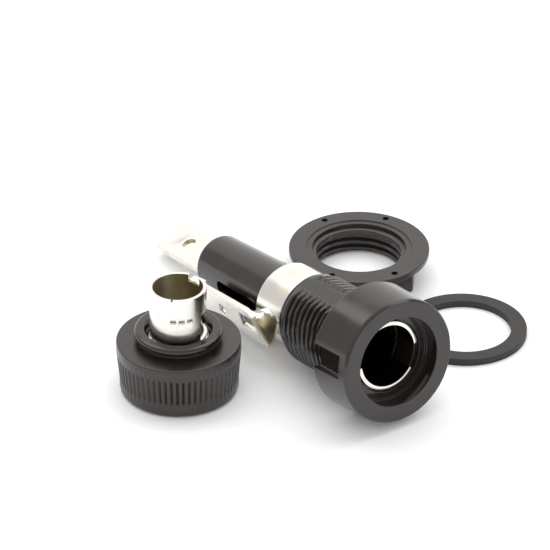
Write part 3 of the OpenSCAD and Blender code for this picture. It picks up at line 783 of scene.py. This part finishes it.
def makeKnob(s):
    rows = s["sideRows"]
    side = [(s["foot"] + (s["radius"] - s["foot"]) * k / rows,
             s["fluteFoot"] + (s["band"] - s["fluteFoot"]) * k / rows) for k in range(rows + 1)]
    underside = roundedPath([(0, s["dishDepth"]), (s["dish"], s["dishDepth"], 0.1), (s["dish"] + 0.2, 0, 0.1),
                             (s["foot"], 0, s["footRound"]), side[0]])[:-1]
    top = roundedPath([side[-1], (s["radius"], s["height"], 0.2), (s["socket"], s["height"], 0.05),
                       (s["socket"], s["bushFoot"]), (s["well"], s["bushFoot"]),
                       (s["well"], s["wellFloor"], 0.2), (0, s["wellFloor"])])[1:]
    path = supported(underside) + side + supported(top)
    body = lathe(path, s["flutes"] * s["perFlute"])
    piece = treePiece(body, "knob", fluteTree(),
                      {"Flutes": float(s["flutes"]), "Depth": s["fluteDepth"], "Foot": s["fluteFoot"],
                       "Top": s["band"], "End Round": s["fluteEnd"], "Least Radius": s["leastRadius"],
                       "Material": satinPhenolicMoulding})
    return finish(piece, capPlace, satinPhenolicMoulding, "cap", ["cap_knob"], 50)


makeKnob(knob)

bush = {"well": 4.3, "wall": 5.39, "foot": 4.22, "joint": 7.5, "grooveDepth": 0.5, "grooveTop": 8.15,
        "lip": 5.83, "top": 9.2, "stop": 3.95, "stopFrom": 7.64}


def makeBush(s):
    path = roundedPath([
        (s["well"], s["foot"]), (s["wall"], s["foot"], 0.1), (s["wall"], s["joint"], 0.04),
        (s["wall"] - s["grooveDepth"], s["joint"] + 0.05), (s["wall"] - s["grooveDepth"], s["grooveTop"]),
        (s["wall"], s["grooveTop"] + 0.07, 0.04), (s["wall"] + 0.1, s["top"] - 1.0, 0.05),
        (s["lip"], s["top"] - 0.95, 0.3), (s["lip"], s["top"], 0.5), (s["well"] + 0.25, s["top"], 0.2),
        (s["well"], s["top"] - 0.35, 0.15), (s["well"], s["stopFrom"] + 0.6, 0.05),
        (s["stop"], s["stopFrom"] + 0.35, 0.05), (s["stop"], s["stopFrom"]), (s["well"], s["stopFrom"])],
        True, 6)
    piece = asObject(lathe(supported(path, True), 192, True), "cap_neck")
    return finish(piece, capPlace, polishedPhenolicMoulding, "cap", ["cap_bush"], 50)


makeBush(bush)
print("cap made")

# Clip: one strip-metal cup, cut and bent, so it is drawn as a sheet and then given its thickness
clip = {"radius": 3.525, "strip": 0.45, "base": 7.82, "rim": 15.4, "bandEdge": 11.9, "slit": 0.4,
        "slits": (-105, -88, -71), "slitTurn": 13, "side": -38, "sideTurn": 66, "sideFrom": 8.6,
        "seam": -101, "lug": 50, "pip": 230, "pipOut": 0.08, "pipFrom": 13.2, "pipFade": 0.5,
        "pipHalf": 13, "lugHalf": 15, "lugFrom": 14.4,
        "lugOut": 1.1, "lugWidth": 1.92, "stemHole": 1.3, "columns": 360}


def makeClip(s):
    wall = roundedPath([(s["stemHole"], s["base"]), (s["radius"], s["base"], 0.9),
                        (s["radius"], s["sideFrom"] + 0.3)], False, 5)
    heights = [s["sideFrom"] + 0.5, 10.2, 11.0, s["bandEdge"], s["bandEdge"] + s["slit"], 12.9, 13.3, 13.7,
               14.0, s["lugFrom"], 14.7, s["rim"] - 0.35, s["rim"]]
    path = wall + [(s["radius"], h) for h in heights]

    def shape(angle, radius, height):
        # the lug opposite the folded one is a pip pressed out of the wall
        off = abs(math.degrees(angle) - s["pip"])
        over = smoothStep((height - s["pipFrom"]) / s["pipFade"])
        over *= smoothStep((s["lugFrom"] + s["pipFade"] - height) / s["pipFade"])
        return radius + s["pipOut"] * smoothStep((s["pipHalf"] - off) / 5) * over

    cup = lathe(path, s["columns"], shape=shape)
    gone = []
    for face in cup.faces:
        centre = face.calc_center_median()
        if centre.z < s["sideFrom"] + 0.2:
            continue
        angle = math.degrees(math.atan2(centre.y, centre.x))

        def within(start, width):
            return (angle - start) % 360 < width

        slitted = s["bandEdge"] < centre.z < s["bandEdge"] + s["slit"]
        cut = slitted and any(within(a, s["slitTurn"]) for a in s["slits"])
        cut = cut or (centre.z < s["bandEdge"] + s["slit"] and within(s["side"], s["sideTurn"]))
        cut = cut or (centre.z > s["rim"] - 0.4 and within(s["seam"] - 2, 4))
        lugAt = within(s["lug"] - s["lugHalf"] - 1, 2 * s["lugHalf"] + 2)
        cut = cut or (centre.z > s["lugFrom"] and lugAt)
        if cut:
            gone.append(face)
    bmesh.ops.delete(cup, geom=gone, context="FACES")
    # the lug: the strip over the cut is folded outwards, its root on the cup's curve, its tongue straight
    lugTurn = Matrix.Rotation(math.radians(s["lug"]), 4, "Z")
    rows = []
    for radius, height in roundedPath([(s["radius"], s["lugFrom"] - 0.3),
                                       (s["radius"], s["lugFrom"] + 0.02, 0.25),
                                       (s["radius"] + s["lugOut"], s["lugFrom"] + 0.02)], False, 4):
        row = []
        for k in range(7):
            share = k / 3 - 1
            across = math.radians(s["lug"] + s["lugHalf"] * share)
            if radius <= s["radius"] + 0.001:
                corner = Vector((radius * math.cos(across), radius * math.sin(across), height))
            else:
                corner = lugTurn @ Vector((radius - 0.1, s["lugWidth"] / 2 * share, height))
            row.append(cup.verts.new(corner))
        rows.append(row)
    for a, b in zip(rows, rows[1:]):
        for k in range(6):
            cup.faces.new((a[k], a[k + 1], b[k + 1], b[k]))
    bmesh.ops.remove_doubles(cup, verts=cup.verts, dist=1e-4)
    bmesh.ops.recalc_face_normals(cup, faces=cup.faces)
    piece = asObject(cup, "clip_cup")
    addModifier(piece, "SOLIDIFY", {"thickness": s["strip"], "offset": 0.0})
    addModifier(piece, "BEVEL", {"width": 0.07, "segments": 2, "angle_limit": math.radians(50)})
    applied(piece)

    def stainAndShade(point, normal):
        # painted shade: a brown-grey tone on the inside of the cup
        inside = math.hypot(point.x, point.y) < s["radius"] - 0.1
        return 0.75 if inside else 0.0

    return finish(piece, capPlace, tinPlatedBrassStrip, "clip", ["fuse_clip"], 45, stainAndShade)


makeClip(clip)
print("clip made")


nut = {"flange": 9.75, "flangeHeight": 1.0, "flats": 7.75, "hexTurn": 22, "height": 4.5,
       "crest": 5.85, "root": 6.42, "flank": 0.34, "ridgeTop": 0.2, "threadAngle": 186, "rowStep": 0.07,
       "pitch": 1.058, "threadFrom": 0.5, "threadTo": 3.75, "band": 2.75, "step": 7.3, "stepDepth": 0.15,
       "mouthRadius": 6.5, "footEdge": 8.3,
       "dimples": (60, 120, 240, 300), "dimpleRadius": 0.45, "dimpleDepth": 0.9, "dimpleAt": 8.6,
       "columns": 288}


def dimpleTree():
    # one short pin on each point of a mesh, as a cutter
    tree, given = newTree("spannerDimples", {"Radius": 0.45, "Depth": 0.9})
    points = addNode(tree, "GeometryNodeMeshToPoints", None, {"Mesh": given.outputs["Geometry"]})
    twice = addNode(tree, "ShaderNodeMath", {"operation": "MULTIPLY", 1: 2.0}, {0: given.outputs["Depth"]})
    pin = addNode(tree, "GeometryNodeMeshCylinder", {"Vertices": 24},
                  {"Radius": given.outputs["Radius"], "Depth": twice.outputs[0]})
    pins = addNode(tree, "GeometryNodeInstanceOnPoints", None,
                   {"Points": points.outputs[0], "Instance": pin.outputs["Mesh"]})
    return closeTree(tree, given, pins.outputs[0])


def makeNut(s):
    hub = s["height"] - s["flangeHeight"]
    corner = s["flats"] / math.cos(math.pi / 6)
    outer = [(s["mouthRadius"], 0, 0.1), (s["footEdge"] - 0.1, 0), (s["footEdge"], 0.03)]
    rows = [(corner, 0.4), (corner, 1.2), (corner, 2.2), (corner, hub - 0.05)]
    top = [(corner, hub), (s["flange"] - 0.02, hub, 0.3), (s["flange"], s["height"], 0.2),
           (s["step"], s["height"], 0.05), (s["step"] - 0.05, s["height"] - s["stepDepth"], 0.03),
           (s["mouthRadius"], s["height"] - s["stepDepth"], 0.12)]
    path = supported(roundedPath(outer + rows + top + [(s["root"], s["threadTo"] + 0.05)]))
    along = s["threadTo"]
    while along > 0.12:
        path.append((s["root"], along))
        along -= s["rowStep"]
    start = math.radians(s["threadAngle"])

    def shape(angle, radius, height):
        if radius > 8.0 and height < hub - 0.01:
            turned = ((angle - math.radians(s["hexTurn"])) % (math.pi / 3)) - math.pi / 6
            flats = s["flats"] / math.cos(turned)
            chamfer = s["footEdge"] + height * 1.6
            return min(radius, flats, chamfer)
        if radius < s["root"] + 0.001 and height < s["threadTo"] + 0.01:
            turns = (height - s["threadFrom"]) / s["pitch"] - (angle - start) / (2 * math.pi)
            lead = smoothStep((height - 0.1) / 0.3) * smoothStep((s["threadTo"] - height) / 0.12)
            ridge = ridgeHeight(turns, s["flank"], s["ridgeTop"])
            if height > s["band"]:
                ridge = max(ridge, smoothStep((height - s["band"]) / 0.15) * 0.8)
            return radius - (s["root"] - s["crest"]) * ridge * lead
        return radius

    piece = asObject(lathe(path, s["columns"], True, shape), "nut")
    marks = bmesh.new()
    for a in s["dimples"]:
        marks.verts.new((s["dimpleAt"] * math.cos(math.radians(a)), s["dimpleAt"] * math.sin(math.radians(a)),
                         s["height"]))
    pins = treePiece(marks, "pins", dimpleTree(),
                     {"Radius": s["dimpleRadius"], "Depth": s["dimpleDepth"],
                      "Material": satinPhenolicMoulding})
    cutAway(piece, [pins])
    return finish(piece, nutPlace, satinPhenolicMoulding, "nut", ["panel_nut"], 35)


makeNut(nut)
print("nut made")


washer = {"outer": 8.5, "inner": 6.4, "thick": 1.0, "soft": 0.12}


def makeWasher(s):
    path = roundedPath([(s["inner"], 0, s["soft"]), (s["outer"], 0, s["soft"]),
                        (s["outer"], s["thick"], s["soft"]), (s["inner"], s["thick"], s["soft"])], True, 4)
    piece = asObject(lathe(supported(path, True), 160, True), "washer_ring")
    return finish(piece, washerPlace, mouldedNitrileRubber, "washer", ["sealing_washer"], 50)


makeWasher(washer)

# the pieces that keep their CAD shape
carried = {"bridge_rivet": tinPlatedBrassStrip, "spring_seat": tinPlatedBrassStrip,
           "contact_plunger": tinPlatedBrassStrip, "cap_seal_ring": mouldedNitrileRubber,
           "clip_stem": drawnSpringSteelWire, "clip_base": tinPlatedBrassStrip}
for nodeName, material in carried.items():
    mesh = frame["nodes"][nodeName].data
    mesh.materials.clear()
    mesh.materials.append(material)
print("pieces made")


stage = {"size": 3.0, "colour": "#f6f7f8", "lens": 219.9, "elevation": 31.16, "distance": 0.46775,
         "aim": (-0.006628, 0.016005, 0.0)}


def makeBench(s):
    sheet = bmesh.new()
    bmesh.ops.create_grid(sheet, x_segments=1, y_segments=1, size=s["size"] / 2)
    bench = asObject(sheet, "bench")
    # Matt white paper: a faint tooth in its roughness, nothing else
    paper, tree, place = newMaterial("mattPaperSweep")
    tooth = noise(tree, place, 1.2, 2.0)
    rough = addNode(tree, "ShaderNodeMapRange", {"To Min": 0.62, "To Max": 0.72},
                    {"Value": tooth.outputs["Fac"]})
    shader = addNode(tree, "ShaderNodeBsdfPrincipled",
                     {"Base Color": toLinear(s["colour"]), "Specular IOR Level": 0.2},
                     {"Roughness": rough.outputs[0]})
    addNode(tree, "ShaderNodeOutputMaterial", None, {"Surface": shader.outputs[0]})
    bench.data.materials.append(paper)


makeBench(stage)


def softbox(name, centre, turn, size, radiance, colour="#ffffff"):
    # a panel of even brightness
    light = bpy.data.lights.new(name, "AREA")
    light.shape = "RECTANGLE"
    light.size, light.size_y = size
    light.energy = radiance * math.pi * size[0] * size[1]
    light.color = toLinear(colour)[:3]
    panel = bpy.data.objects.new(name, light)
    bpy.context.scene.collection.objects.link(panel)
    panel.location = centre
    panel.rotation_euler = [math.radians(a) for a in turn]
    return panel


# the overhead panel's front edge is right above the parts, so the side that faces forwards stays dark
softbox("overhead", (0.0, 0.33, 0.7), (0, 0, 0), (1.7, 0.75), 1.65)
softbox("backdrop", (0.0, 0.9, 0.36), (-90, 0, 0), (2.0, 0.7), 0.5)
# fills the shadows on the bench in front of the parts without a mirror image in them
front = softbox("front", (0.0, -0.75, 0.55), (53, 0, 0), (1.6, 0.8), 0.9)
front.visible_glossy = False

world = bpy.data.worlds.new("studio")
bpy.context.scene.world = world
world.use_nodes = True
world.node_tree.nodes["Background"].inputs["Color"].default_value = toLinear("#fbf8f5")
world.node_tree.nodes["Background"].inputs["Strength"].default_value = 0.74

lens = bpy.data.cameras.new("camera")
lens.lens = stage["lens"]
lens.sensor_width = 36.0
lens.clip_start = 0.01
lens.clip_end = 20.0
camera = bpy.data.objects.new("camera", lens)
bpy.context.scene.collection.objects.link(camera)
tilt = math.radians(stage["elevation"])
camera.location = Vector(stage["aim"]) + Vector((0, -math.cos(tilt), math.sin(tilt))) * stage["distance"]
camera.rotation_euler = (math.pi / 2 - tilt, 0, 0)
bpy.context.scene.camera = camera
bpy.context.scene.view_settings.view_transform = "Standard"
print("stage set")
